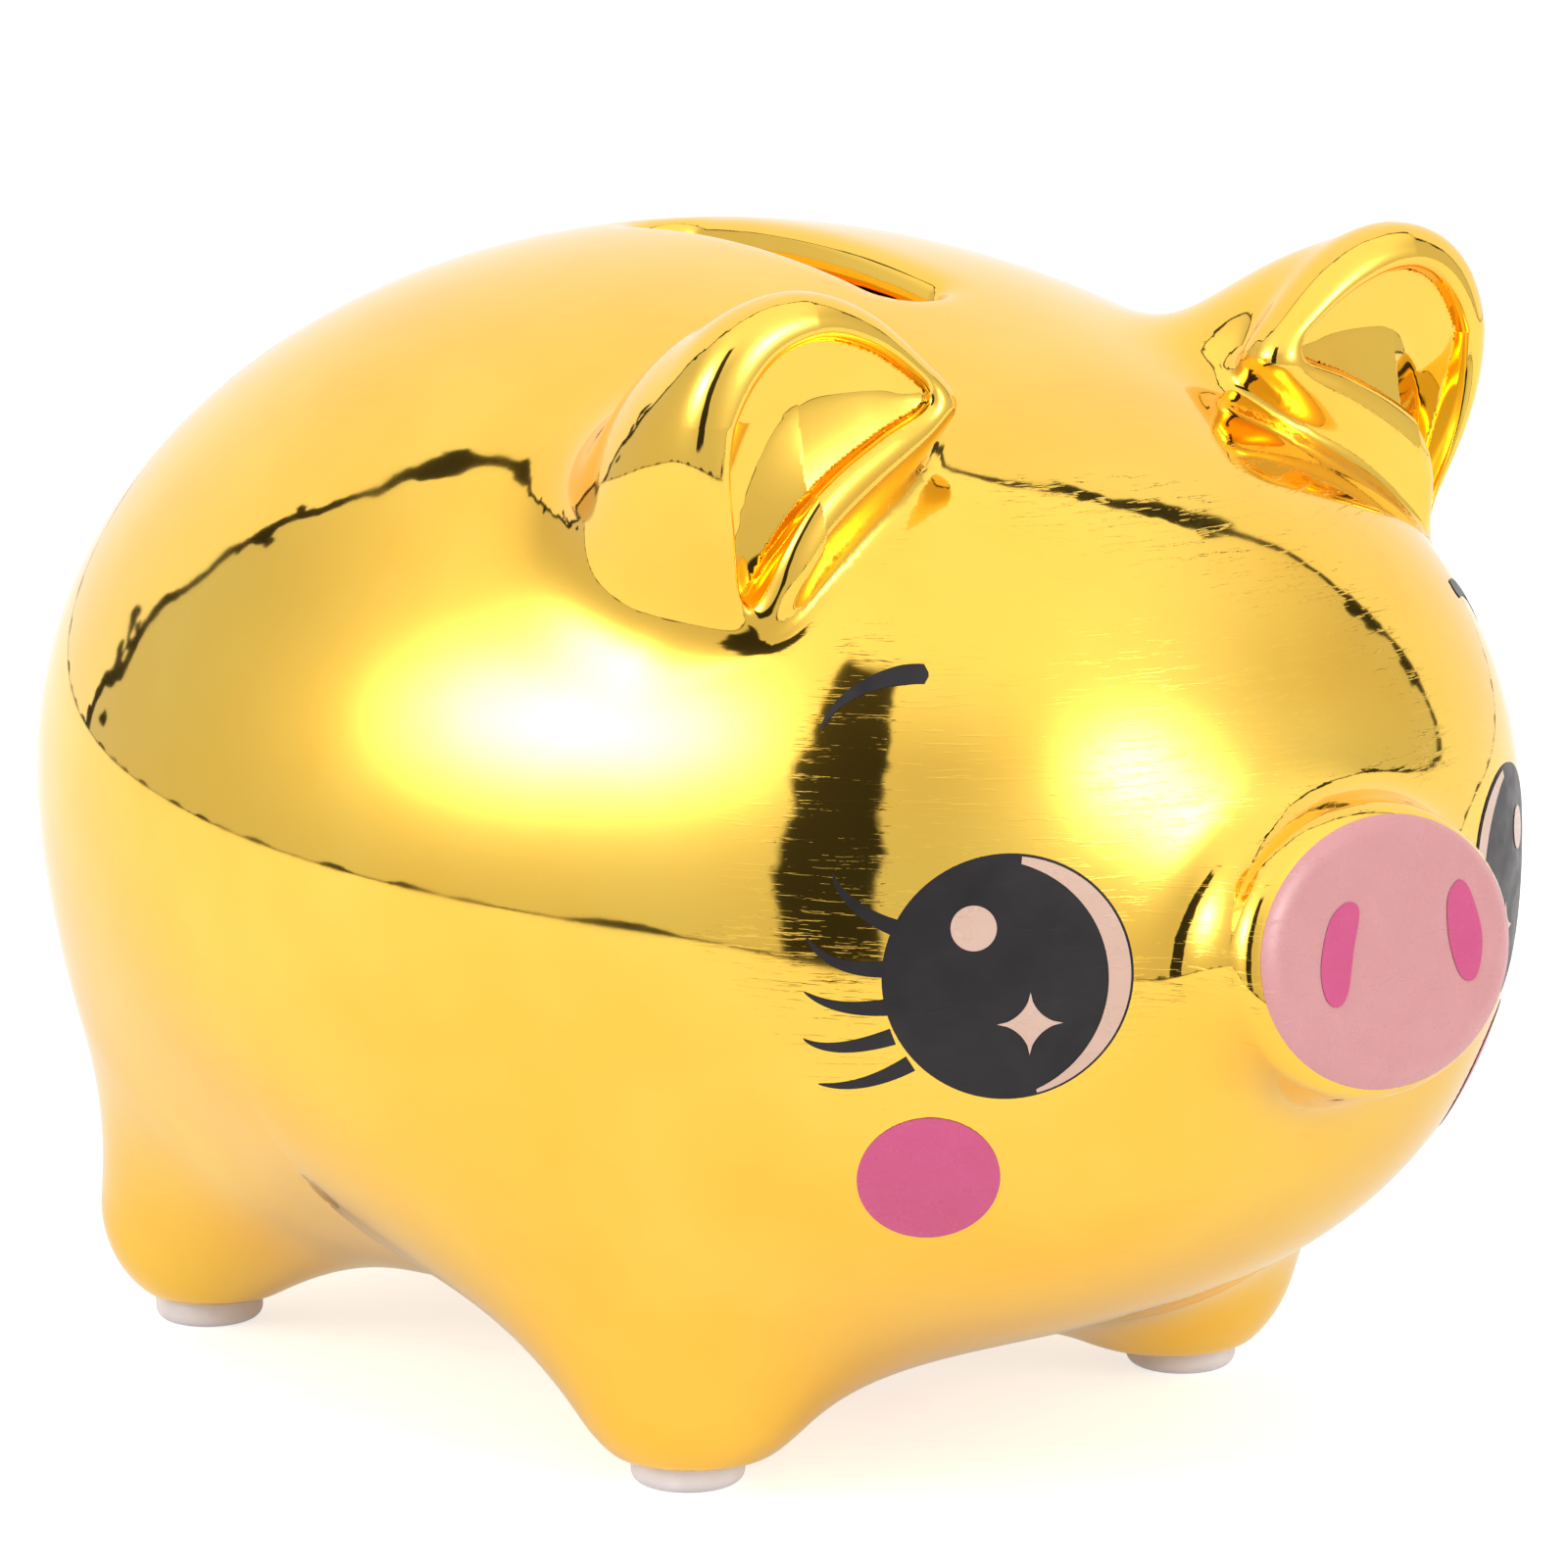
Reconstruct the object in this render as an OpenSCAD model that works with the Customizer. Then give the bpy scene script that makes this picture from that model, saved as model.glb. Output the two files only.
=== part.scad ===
/* [Body] */
// Half width of the belly
belly_half_w = 58.2; // [52:0.2:62]
// Half length of the belly
belly_half_l = 66; // [60:0.2:70]
// Half height of the belly
belly_half_h = 47.6; // [43:0.1:52]
// Height of the belly's centre
belly_z = 52.5; // [50:0.1:56]
// How far the belly's centre lies behind the origin
belly_y = 4; // [0:0.5:8]
// Half width of the head
head_half_w = 43.2; // [40:0.2:47]
// Half length of the head
head_half_l = 45.3; // [42:0.2:48]
// Half height of the head
head_half_h = 38.6; // [36:0.2:42]
// How far the head's centre lies in front of the origin
head_forward = 26; // [23:0.1:29]
// Height of the head's centre
head_z = 51; // [48:0.1:54]
// Bluntness of the head, where 2 is an ellipsoid
head_blunt = 2.34; // [2:0.01:2.6]
// Thickness of the ceramic wall
wall = 5; // [4:0.1:6]

/* [Snout] */
// Distance from the origin to the snout's front face
snout_reach = 79.2; // [77:0.1:82]
// Height of the snout's centre
snout_z = 51.4; // [48:0.1:55]
// Half height of the snout
snout_half_h = 11.7; // [10:0.1:13]
// Width of the snout over its height
snout_oval = 1.23; // [1.1:0.01:1.4]
// How far the snout's face looks up, in degrees
snout_tilt = 8.9; // [0:0.1:15]

/* [Legs] */
// Half distance between the front legs
front_leg_x = 27.5; // [25:0.1:30]
// How far the front legs stand in front of the origin
front_leg_forward = 24.2; // [21:0.1:27]
// Half distance between the rear legs
rear_leg_x = 31; // [28:0.1:34]
// How far the rear legs stand behind the origin
rear_leg_back = 41.3; // [38:0.1:44]
// Radius of a front leg at its foot
front_leg_r = 8.2; // [7.5:0.1:9.5]
// Radius of a rear leg at its foot
rear_leg_r = 9.2; // [8.5:0.1:10]
// Height of the white pad under each foot
pad_h = 2.3; // [1.6:0.1:3.2]
// Radius of the white pad under each foot
pad_r = 4.8; // [4:0.1:4.9]

/* [Ears] */
// Half distance between the ears' middles
ear_x = 32; // [31:0.1:33]
// Height of the ears' middles
ear_z = 89; // [88:0.1:90]
// Distance from the origin to the front of the ears' rims
ear_front = 47.2; // [46:0.1:48]
// Depth of the dish in each ear's front
ear_dish = 2.2; // [1:0.1:3]

/* [Coin slot and stopper] */
// Length of the coin slot
slot_l = 36; // [32:0.5:38]
// Width of the coin slot
slot_w = 5; // [4.6:0.1:6]
// How far the middle of the slot lies in front of the origin
slot_forward = 3; // [0:0.5:10]
// Radius of the hole in the belly
belly_hole_r = 12.05; // [10:0.05:14]
// Radial clearance of the rubber stopper in its hole
stopper_clearance = 0.05; // [0.02:0.01:0.1]

/* [Prints] */
// Half distance between the eyes
eye_x = 27.1; // [25:0.1:29]
// Height of the eyes
eye_z = 51; // [49:0.1:53]
// Radius of the dark disc of the eye
eye_r = 9.9; // [8.5:0.1:10.5]
// Radius of the cheek spots
cheek_r = 5.6; // [4:0.1:7]

/* [Hidden] */
$fn = 64;

gold = [0.95, 0.72, 0.2];
pink = [0.91, 0.65, 0.65];
hot_pink = [0.9, 0.37, 0.59];
print_black = [0.17, 0.16, 0.17];
print_gap = 0.1;       // space between the glaze and a print
print_t = 0.15;        // thickness of a print
joint_gap = 0.3;       // slip joint between the shell and what is stuck on it

// ---- smooth shapes: every function gives less than 0 inside ----

function ellipsoid(p, c, r) =
    let (q = [(p.x - c.x) / r.x, (p.y - c.y) / r.y, (p.z - c.z) / r.z],
         k0 = norm(q), k1 = norm([q.x / r.x, q.y / r.y, q.z / r.z]))
    k0 * (k0 - 1) / max(k1, 0.000001);

// an ellipsoid with a power e above 2 is blunter
function blunt(p, c, r, e) =
    let (q = [for (i = [0 : 2]) abs(p[i] - c[i]) / r[i] + 0.000001],
         k = pow(pow(q.x, e) + pow(q.y, e) + pow(q.z, e), 1 / e),
         g = norm([for (i = [0 : 2]) pow(q[i] / k, e - 1) / r[i]]))
    (k - 1) / g;

function join(a, b, k) =
    let (h = max(k - abs(a - b), 0) / k) min(a, b) - h * h * h * k / 6;

function cut(a, b, k) = -join(-a, -b, k);

function round_cone(p, a, b, ra, rb) =
    let (ba = b - a, l2 = ba * ba, rr = ra - rb, a2 = l2 - rr * rr, il2 = 1 / l2,
         pa = p - a, y = pa * ba, z = y - l2,
         side = pa * l2 - ba * y, x2 = side * side, y2 = y * y * l2, z2 = z * z * l2,
         k = sign(rr) * rr * rr * x2)
    sign(z) * a2 * z2 > k ? sqrt(x2 + z2) * il2 - rb
    : sign(y) * a2 * y2 < k ? sqrt(x2 + y2) * il2 - ra
    : (sqrt(x2 * a2 * il2) + y * rr) * il2 - ra;

snout_depth = 18.2;    // length of the snout's cylinder, most of it inside the face
snout_edge_r = 2.5;    // rounding of the snout's front edge
snout_axis = [0, -cos(snout_tilt), sin(snout_tilt)];
snout_up = [0, sin(snout_tilt), cos(snout_tilt)];
snout_face = [0, -snout_reach, snout_z];

function snout(p) =
    let (d = p - snout_face + snout_axis * snout_depth / 2,
         q = [d.x / snout_oval, d.y, d.z], y = q * snout_axis,
         x = sqrt(max(q * q - y * y, 0)),
         dx = x - (snout_half_h - snout_edge_r),
         dy = abs(y) - (snout_depth / 2 - snout_edge_r))
    min(max(dx, dy), 0) + norm([max(dx, 0), max(dy, 0)]) - snout_edge_r;

// a leg tapers from a thigh inside the belly to the foot
thigh_r = 15.9;
thigh_z = 27.5;
thigh_in = 5;          // the thighs lie this much closer together than the feet
front_slant = 6.1;     // and this much closer to the middle of the belly
rear_slant = 10.4;
foot_sink = 1.5;       // the rounded foot is cut flat this far above its lowest point

function leg(p, x, y, slant, r) =
    round_cone(p, [x - thigh_in, y + slant, thigh_z], [x, y, pad_h + r - foot_sink], thigh_r, r);

function legs(p) =
    let (q = [abs(p.x), p.y, p.z])
    min(leg(q, front_leg_x, -front_leg_forward, front_slant, front_leg_r),
        leg(q, rear_leg_x, rear_leg_back, -rear_slant, rear_leg_r));

head_blend = 19;
snout_blend = 9;
leg_blend = 26;

function pig(p) =
    join(join(join(ellipsoid(p, [0, belly_y, belly_z], [belly_half_w, belly_half_l, belly_half_h]),
                   blunt(p, [0, -head_forward, head_z], [head_half_w, head_half_l, head_half_h], head_blunt),
                   head_blend),
              snout(p), snout_blend),
         legs(p), leg_blend);

// distance in the plane from a closed outline, less than 0 inside it
function edge_gap(p, a, b) =
    let (t = (p - a) * (b - a) / ((b - a) * (b - a))) norm(p - a - (b - a) * max(0, min(1, t)));
function crossed(p, a, b) =
    (a.y > p.y) != (b.y > p.y) && p.x < a.x + (p.y - a.y) / (b.y - a.y) * (b.x - a.x);
function outline_gap(p, c) =
    let (n = len(c), odd = len([for (i = [0 : n - 1]) if (crossed(p, c[i], c[(i + 1) % n])) 1]) % 2)
    (odd == 1 ? -1 : 1) * min([for (i = [0 : n - 1]) edge_gap(p, c[i], c[(i + 1) % n])]);

// an ear is a hood: a slab with a rolled rim in front and a long dome behind it
ear_outline = [[16.8, 91.6], [19.5, 89.3], [25, 86.4], [30.4, 82.8], [34, 79], [36.2, 75.6], [38.6, 73.6],
               [40.6, 76], [42, 82], [42.6, 88], [42.3, 94], [40.3, 98.6], [36.5, 101.3], [31, 102.2],
               [25, 100.2], [19.5, 96.2], [16.8, 93.6]];
rim_r = 2.2;
slab_t = 5.5;
dome_c = [29.8, 12.9 - ear_front, 85.6];
dome_axis = [0.25, -0.742, 0.622];
dome_side = [0.957, 0.092, -0.275];
bend_x = 32;           // outside this the front turns backwards, most of all low down
bend_high = 0.15;
bend_low = 0.8;

function ear(p) =
    let (q = [abs(p.x) - ear_x + 32, p.y, p.z - ear_z + 89],
         low = max(0, min(1, (93 - q.z) / 16)),
         bend = (bend_high + (bend_low - bend_high) * low) * max(q.x - bend_x, 0),
         f = q + bend * [0.8, -1, 0.275],
         thick = slab_t + 5 * low,
         side = outline_gap([f.x, f.z], ear_outline) + rim_r,
         depth = abs(f.y + ear_front - thick / 2) - thick / 2 + rim_r,
         slab = min(max(side, depth), 0) + norm([max(side, 0), max(depth, 0)]) - rim_r,
         d = q - dome_c, along = d * dome_axis, across = d * dome_side, up = d * cross(dome_axis, dome_side),
         dome = cut(ellipsoid([across, up, along], [0, 0, 0], [12.8, 11.4, 21.8]), 1.5 - ear_front - q.y, 4))
    join(slab, dome, 4 + 8 * low);

// ---- surfaces from those shapes ----

centre = [0, -5, 44];  // every part of the skin can be seen from here
rows = 56;             // rings of the skin from the snout to the tail
cols = 36;             // points on one half ring

// distance along d at which shape number s reaches the level lev
function level(s, p) = s == 0 ? pig(p) : ear(p);
function reach(s, lev, c, d, near, far, n) =
    n == 0 ? (near + far) / 2
    : let (m = (near + far) / 2)
      level(s, c + d * m) < lev ? reach(s, lev, c, d, m, far, n - 1) : reach(s, lev, c, d, near, m, n - 1);

// direction for ring i of n and column j of m, with the rings round the Y axis
function ring_dir(i, n, j, m) =
    let (a = 180 * i / n, b = 360 * j / m) [sin(a) * sin(b), -cos(a), -sin(a) * cos(b)];

// a closed skin round c, from distances along the directions of n rings
module skin(s, lev, c, n, m, far) {
    half = [for (i = [1 : n - 1]) [for (j = [0 : m / 2])
                let (d = ring_dir(i, n, j, m)) c + d * reach(s, lev, c, d, 1, far, 13)]];
    full = [for (r = half) for (j = [0 : m - 1])
                j <= m / 2 ? r[j] : [2 * c.x - r[m - j].x, r[m - j].y, r[m - j].z]];
    front = c - [0, reach(s, lev, c, [0, -1, 0], 1, far, 13), 0];
    back = c + [0, reach(s, lev, c, [0, 1, 0], 1, far, 13), 0];
    closed(concat(full, [front, back]), n - 1, m);
}

// the faces of n rings of m points, with one point past each end
module closed(points, n, m) {
    a = n * m;
    faces = concat(
        [for (i = [0 : n - 2]) for (j = [0 : m - 1])
            let (k = (j + 1) % m) [i * m + j, i * m + k, (i + 1) * m + k]],
        [for (i = [0 : n - 2]) for (j = [0 : m - 1])
            let (k = (j + 1) % m) [i * m + j, (i + 1) * m + k, (i + 1) * m + j]],
        [for (j = [0 : m - 1]) [a, (j + 1) % m, j]],
        [for (j = [0 : m - 1]) [a + 1, (n - 1) * m + j, (n - 1) * m + (j + 1) % m]]);
    polyhedron(points, faces, convexity = 6);
}

// ---- the shell and what is stuck on it ----

seat_z = 7.1;          // the stopper's flange rests against this level
flange_r = 14.2;
flange_t = 2;
barrel_h = 9;

module body_shell() {
    color(gold) difference() {
        skin(0, 0, centre, rows, 2 * cols, 110);
        skin(0, -wall, centre, 28, 40, 110);
        translate([0, -slot_forward, belly_z]) linear_extrude(80)
            hull_slot(slot_l, slot_w);
        translate([0, belly_y, -1]) cylinder(r = belly_hole_r, h = 30);
        translate([0, belly_y, -1]) cylinder(r = flange_r + 0.4, h = seat_z + 1);
        translate([-100, -100, -20]) cube([200, 200, 20 + pad_h]);
    }
}

module hull_slot(l, w) {
    union() {
        translate([-w / 2, -(l - w) / 2]) square([w, l - w]);
        for (s = [-1, 1]) translate([0, s * (l - w) / 2]) circle(d = w);
    }
}

dish_radii = [10.5, ear_dish * 2, 7];
dish_turn = -33;

// an ear sits on the head with a thin slip joint under it
module one_ear(side) {
    n = 30;
    m = 40;
    c = [side * (ear_x + 1.5), 3.2 - ear_front, ear_z + 2.5];
    points = [for (i = [1 : n - 1]) for (j = [0 : m - 1])
                 let (d = ring_dir(i, n, j, m)) c + d * reach(1, 0, c, d, 0.5, 60, 14)];
    ends = [for (s = [-1, 1]) c + [0, s, 0] * reach(1, 0, c, [0, s, 0], 0.5, 60, 14)];
    color(gold) difference() {
        closed(concat(points, ends), n - 1, m);
        skin(0, joint_gap, centre, 28, 40, 110);
        translate([side * (ear_x + 0.3), -ear_front - ear_dish + 1.2, ear_z + 2])
            rotate([0, -side * dish_turn, 0]) scale(dish_radii) sphere(1, $fn = 40);
    }
}

module ear_left() one_ear(1);
module ear_right() one_ear(-1);

// the tail leaves the rump straight and closes one loop
tail_z = 62;
tail_r = 2.6;
tail_curl_r = 5.2;
tail_steps = 36;
tail_sides = 10;
tail_root_y = reach(0, 0, [0, 0, tail_z], [0, 1, 0], 20, 90, 16) + joint_gap;

function tail_point(t) =
    let (a = 430 * t, r = tail_curl_r * min(1, a / 120) * (1 - 0.25 * t))
    [r * sin(a), tail_root_y + 9 * min(t, 0.12) / 0.12 * 0.35 + 6.5 * t, tail_z + r * (1 - cos(a)) * 0.9];

module tail() {
    points = [for (i = [0 : tail_steps])
                 let (t = i / tail_steps, p = tail_point(t),
                      d0 = tail_point(min(t + 0.01, 1)) - tail_point(max(t - 0.01, 0)),
                      d = i == 0 ? [0, 1, 0] : d0 / norm(d0),
                      u0 = cross(d, [0, 0.3, 1]), u = u0 / norm(u0), v = cross(u, d),
                      r = tail_r * (1 - 0.45 * t) * sqrt(max(1 - pow(max(t - 0.9, 0) / 0.1, 2), 0.04)))
                 for (j = [0 : tail_sides - 1])
                     let (b = 360 * j / tail_sides) p + (u * cos(b) + v * sin(b)) * r];
    ends = [tail_point(0), tail_point(1) + (tail_point(1) - tail_point(0.99)) * 0.5];
    color(gold) closed(concat(points, ends), tail_steps + 1, tail_sides);
}

module pad(x, y) {
    edge = 1;
    color("white") translate([x, y, 0]) rotate_extrude()
        union() {
            square([pad_r - edge, pad_h]);
            translate([0, edge]) square([pad_r, pad_h - edge]);
            translate([pad_r - edge, edge]) circle(r = edge);
        }
}

module foot_pad_front_left() pad(front_leg_x, -front_leg_forward);
module foot_pad_front_right() pad(-front_leg_x, -front_leg_forward);
module foot_pad_rear_left() pad(rear_leg_x, rear_leg_back);
module foot_pad_rear_right() pad(-rear_leg_x, rear_leg_back);

// a rubber plug with a flange, hollow from above, with a grip in a dish below
module stopper() {
    barrel_r = belly_hole_r - stopper_clearance;
    grip_r = 8;
    color([0.85, 0.85, 0.82]) translate([0, belly_y, seat_z - flange_t]) difference() {
        union() {
            cylinder(r = flange_r, h = flange_t);
            cylinder(r = barrel_r, h = flange_t + barrel_h - 1.5);
            cylinder(r = barrel_r - 1, h = flange_t + barrel_h);
        }
        translate([0, 0, flange_t + 1.5]) cylinder(r = barrel_r - 3, h = barrel_h);
        difference() {
            translate([0, 0, -1]) cylinder(r = grip_r, h = 2.2);
            translate([-1.2, -grip_r, -2]) cube([2.4, 2 * grip_r, 6]);
        }
    }
}

// ---- prints: thin sheets that follow the glaze ----

function unit(v) = v / norm(v);
function slope(p) =
    let (e = 0.01)
    unit([pig(p + [e, 0, 0]) - pig(p - [e, 0, 0]), pig(p + [0, e, 0]) - pig(p - [0, e, 0]),
          pig(p + [0, 0, e]) - pig(p - [0, 0, e])]);

// the frame of a print: its middle on the glaze, then forwards, upwards and outwards
function print_frame(x, z) =
    let (q = [-x, -20, z], p = q + [0, -1, 0] * reach(0, 0, q, [0, -1, 0], 0, 70, 18),
         n = slope(p), h = unit(cross([0, 0, 1], n)))
    [p, h, cross(n, h), n];

function on_glaze(f, h, w, up) =
    let (q = f[0] + f[1] * h + f[2] * w - f[3] * 12)
    q + f[3] * (reach(0, 0, q, f[3], 0, 18, 12) + up);

// a sheet over a grid of n rows of m points, closed in the first direction for a disc
module sheet(f, grid, up) {
    n = len(grid);
    m = len(grid[0]);
    low = [for (r = grid) for (q = r) on_glaze(f, q.x, q.y, up)];
    high = [for (r = grid) for (q = r) on_glaze(f, q.x, q.y, up + print_t)];
    k = n * m;
    rim = concat([for (j = [0 : m - 1]) j], [for (i = [1 : n - 1]) i * m + m - 1],
                 [for (j = [m - 2 : -1 : 0]) (n - 1) * m + j], [for (i = [n - 2 : -1 : 1]) i * m]);
    tiles = [for (i = [0 : n - 2]) for (j = [0 : m - 2]) [i * m + j, i * m + j + 1, i * m + m + j + 1, i * m + m + j]];
    faces = concat(
        [for (t = tiles) [t[0], t[1], t[2]]], [for (t = tiles) [t[0], t[2], t[3]]],
        [for (t = tiles) [k + t[2], k + t[1], k + t[0]]], [for (t = tiles) [k + t[3], k + t[2], k + t[0]]],
        [for (i = [0 : len(rim) - 1])
            let (a = rim[i], b = rim[(i + 1) % len(rim)]) [b, a, k + a]],
        [for (i = [0 : len(rim) - 1])
            let (a = rim[i], b = rim[(i + 1) % len(rim)]) [b, k + a, k + b]]);
    polyhedron(concat(low, high), faces, convexity = 4);
}

// a square grid squeezed into an oval, so that no tile is a sliver
function oval_grid(c, rx, ry, n) =
    [for (i = [0 : n]) [for (j = [0 : n])
        let (x = 2 * j / n - 1, y = 2 * i / n - 1)
        c + [rx * x * sqrt(1 - y * y / 2), ry * y * sqrt(1 - x * x / 2)]]];

// a stroke along points p with half widths r
function stroke_grid(p, r) =
    [for (i = [0 : len(p) - 1])
        let (d = unit(p[min(i + 1, len(p) - 1)] - p[max(i - 1, 0)]), s = [-d.y, d.x] * r[i])
        [p[i] + s, p[i], p[i] - s]];

module mirrored(side) { if (side > 0) mirror([1, 0, 0]) children(); else children(); }

eye_frame = print_frame(eye_x, eye_z);
lash_tips = [[-13.6, 7.9], [-15.7, 3], [-15.8, -1.4], [-15.8, -5.3], [-14.6, -9]];
lash_roots = [[-9.6, 4.5], [-10.4, 0.9], [-10.5, -2.3], [-10.1, -4.9], [-9.1, -6.9]];
lash_half_w = 0.7;

module eye(side) {
    color(print_black) mirrored(side) {
        sheet(eye_frame, oval_grid([0, 0], eye_r, eye_r, 12), print_gap);
        for (i = [0 : 4])
            sheet(eye_frame, stroke_grid([for (t = [0 : 0.2 : 1]) lash_tips[i] * (1 - t) + lash_roots[i] * t],
                                         [for (t = [0 : 0.2 : 1]) lash_half_w * (0.15 + 0.85 * t)]), print_gap);
    }
}

// bright crescent, round glint and four pointed glint on the eye
module eye_glint(side) {
    up = print_gap + print_t + 0.03;
    outer_c = [0, 0];
    inner_c = [-1.85, -0.3];
    inner_r = 9.75;
    color([1, 0.85, 0.8]) mirrored(side) {
        sheet(eye_frame, [for (a = [-70 : 7 : 77])
                  let (d = [cos(a), sin(a)], t = d * inner_c,
                       r = t + sqrt(inner_r * inner_r - inner_c * inner_c + t * t))
                  [inner_c * 0 + d * min(r, eye_r - 0.35), outer_c + d * (eye_r - 0.25)]], up);
        sheet(eye_frame, oval_grid([-2.8, 4.1], 1.8, 1.8, 6), up);
        sheet(eye_frame, [for (i = [0 : 8]) let (y = -2.6 + 0.65 * i, w = 0.18 + pow(1 - abs(y) / 2.6, 2) * 1.6)
                  [[1.6 - w, -3.7 + y], [1.6 + w, -3.7 + y]]], up);
    }
}

module eye_left() eye(1);
module eye_right() eye(-1);
module eye_glint_left() eye_glint(1);
module eye_glint_right() eye_glint(-1);

brow_frame = print_frame(29.6, 73.4);
module brow(side) {
    color(print_black) mirrored(side)
        sheet(brow_frame, stroke_grid([for (t = [0 : 0.1 : 1]) [-4.7 + 9.4 * t, -2 + 3.6 * sin(90 * t)]],
                                      [for (t = [0 : 0.1 : 1]) 0.2 + 0.5 * sqrt(t)]), print_gap);
}
module brow_left() brow(1);
module brow_right() brow(-1);

cheek_frame = print_frame(27.5, 34.5);
module cheek(side) {
    color(hot_pink) mirrored(side)
        sheet(cheek_frame, oval_grid([0, 0], cheek_r, cheek_r, 8), print_gap);
}
module cheek_left() cheek(1);
module cheek_right() cheek(-1);

// the snout's prints lie flat on its front face
disc_half_h = snout_half_h - 1;
module on_snout(up) {
    translate(snout_face + snout_axis * up) rotate([90 - snout_tilt, 0, 0]) children();
}
module snout_disc() {
    color(pink) on_snout(print_gap) linear_extrude(print_t)
        polygon([for (a = [0 : 5 : 355]) disc_half_h * [snout_oval * cos(a), sin(a)]]);
}
module nostril(side) {
    color(hot_pink) on_snout(print_gap + print_t + 0.03) linear_extrude(print_t)
        translate([side * 6.7 + 1.3, 0.5]) rotate(side * -8)
            polygon([for (a = [0 : 10 : 350]) [1.8 * cos(a), 4.1 * sin(a)]]);
}
module nostril_left() nostril(1);
module nostril_right() nostril(-1);

body_shell();
ear_left();
ear_right();
tail();
stopper();
foot_pad_front_left();
foot_pad_front_right();
foot_pad_rear_left();
foot_pad_rear_right();
snout_disc();
nostril_left();
nostril_right();
eye_left();
eye_right();
eye_glint_left();
eye_glint_right();
brow_left();
brow_right();
cheek_left();
cheek_right();
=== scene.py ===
from math import cos, pi, radians, sin, sqrt

import bpy
import numpy as np
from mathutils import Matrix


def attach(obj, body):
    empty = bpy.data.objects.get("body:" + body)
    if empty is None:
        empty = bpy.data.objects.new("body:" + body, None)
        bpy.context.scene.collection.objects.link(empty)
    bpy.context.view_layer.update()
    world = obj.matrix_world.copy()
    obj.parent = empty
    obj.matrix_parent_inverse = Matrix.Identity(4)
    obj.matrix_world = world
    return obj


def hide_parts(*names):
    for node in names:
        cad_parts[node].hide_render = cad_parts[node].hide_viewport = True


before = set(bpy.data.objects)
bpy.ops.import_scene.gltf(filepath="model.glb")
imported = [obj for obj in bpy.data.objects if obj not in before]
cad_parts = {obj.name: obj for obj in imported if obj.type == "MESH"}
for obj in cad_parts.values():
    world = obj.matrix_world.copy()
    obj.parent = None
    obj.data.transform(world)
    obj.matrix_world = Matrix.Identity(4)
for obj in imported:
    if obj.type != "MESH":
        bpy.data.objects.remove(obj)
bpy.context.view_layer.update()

# Everything below is worked out in millimetres and turned into metres when a mesh is made.
MM = 0.001
CELL = 0.8

# ---- the shape: each function is negative inside the body ----

BELLY_C, BELLY_R = np.array([0, 4.0, 52.5]), np.array([58.2, 66.0, 47.6])
HEAD_C, HEAD_R, HEAD_BLUNT = np.array([0, -26.0, 51.0]), np.array([43.2, 45.3, 38.6]), 2.34
HEAD_BLEND, SNOUT_BLEND, LEG_BLEND = 19.0, 9.0, 26.0
SNOUT_FACE, SNOUT_TILT = np.array([0, -79.2, 51.4]), radians(8.9)
SNOUT_HALF_H, SNOUT_OVAL, SNOUT_DEPTH, SNOUT_EDGE = 11.7, 1.23, 18.2, 2.5
SNOUT_AXIS = np.array([0, -cos(SNOUT_TILT), sin(SNOUT_TILT)])
SNOUT_UP = np.array([0, sin(SNOUT_TILT), cos(SNOUT_TILT)])
PAD_H, FOOT_SINK = 2.3, 1.5
THIGH_R, THIGH_Z, THIGH_IN = 15.9, 27.5, 5.0
FRONT_LEG, REAR_LEG = (27.5, -24.2, 6.1, 8.2), (31.0, 41.3, -10.4, 9.2)
EAR_X, EAR_Z, EAR_FRONT = 32.0, 89.0, 47.2
# Outlines in the plane of an ear's front, as (distance from the middle plane, height)
EAR_PLATE = [(16.8, 91.6), (19.5, 89.3), (25, 86.4), (30.4, 82.8), (34.0, 79.0), (36.2, 75.6),
             (38.6, 73.6), (40.6, 76), (42.0, 82), (42.6, 88), (42.3, 94), (40.3, 98.6),
             (36.5, 101.3), (31, 102.2), (25, 100.2), (19.5, 96.2), (16.8, 93.6)]
EAR_PANEL = [(20.2, 93.2), (24.8, 91.2), (29.7, 88.7), (33.4, 86.0), (36.4, 82.9), (38.2, 79.9),
             (39.4, 79.2), (40.6, 82), (41.2, 86.5), (40.8, 90.5), (38.8, 95), (35.5, 98),
             (30.9, 99.0), (26.4, 97.9), (22.4, 95.6)]
RIM_R, PLATE_T, RIM_SOFT = 2.8, 6.2, 3.2
BOWL_DEPTH, BOWL_MORE, BOWL_RUN = 1.6, 1.6, 4.0
BEND_X, BEND_HIGH, BEND_LOW = 32.0, 0.15, 0.8
DOME_C = np.array([EAR_X - 2.2, -EAR_FRONT + 12.9, EAR_Z - 3.4])
DOME_LONG = np.array([0.25, -0.742, 0.622])
DOME_SIDE = np.cross(np.cross(DOME_LONG, [1, 0, -0.2]), DOME_LONG)
DOME_SIDE /= np.linalg.norm(DOME_SIDE)
DOME_AXES = np.array([DOME_SIDE, np.cross(DOME_LONG, DOME_SIDE), DOME_LONG])
DOME_R = np.array([12.8, 11.4, 21.8])
WALL = 5.0
SLOT_Y, SLOT_L, SLOT_W, SLOT_LIP = -3.0, 36.0, 5.0, 5.0
SLOT_FLOOR_Z = 60.0     # the slot cuts only what is above this
HOLE_Y, HOLE_R, SEAT_R, SEAT_Z = 4.0, 12.05, 14.6, 7.1
HOLE_TOP_Z = 20.0
# Roundings where cuts meet the glaze: inner wall, foot, hole, and the hole's own top
WALL_EDGE, FOOT_EDGE, HOLE_EDGE, HOLE_TOP_EDGE = 1.0, 0.8, 0.6, 0.4
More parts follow.
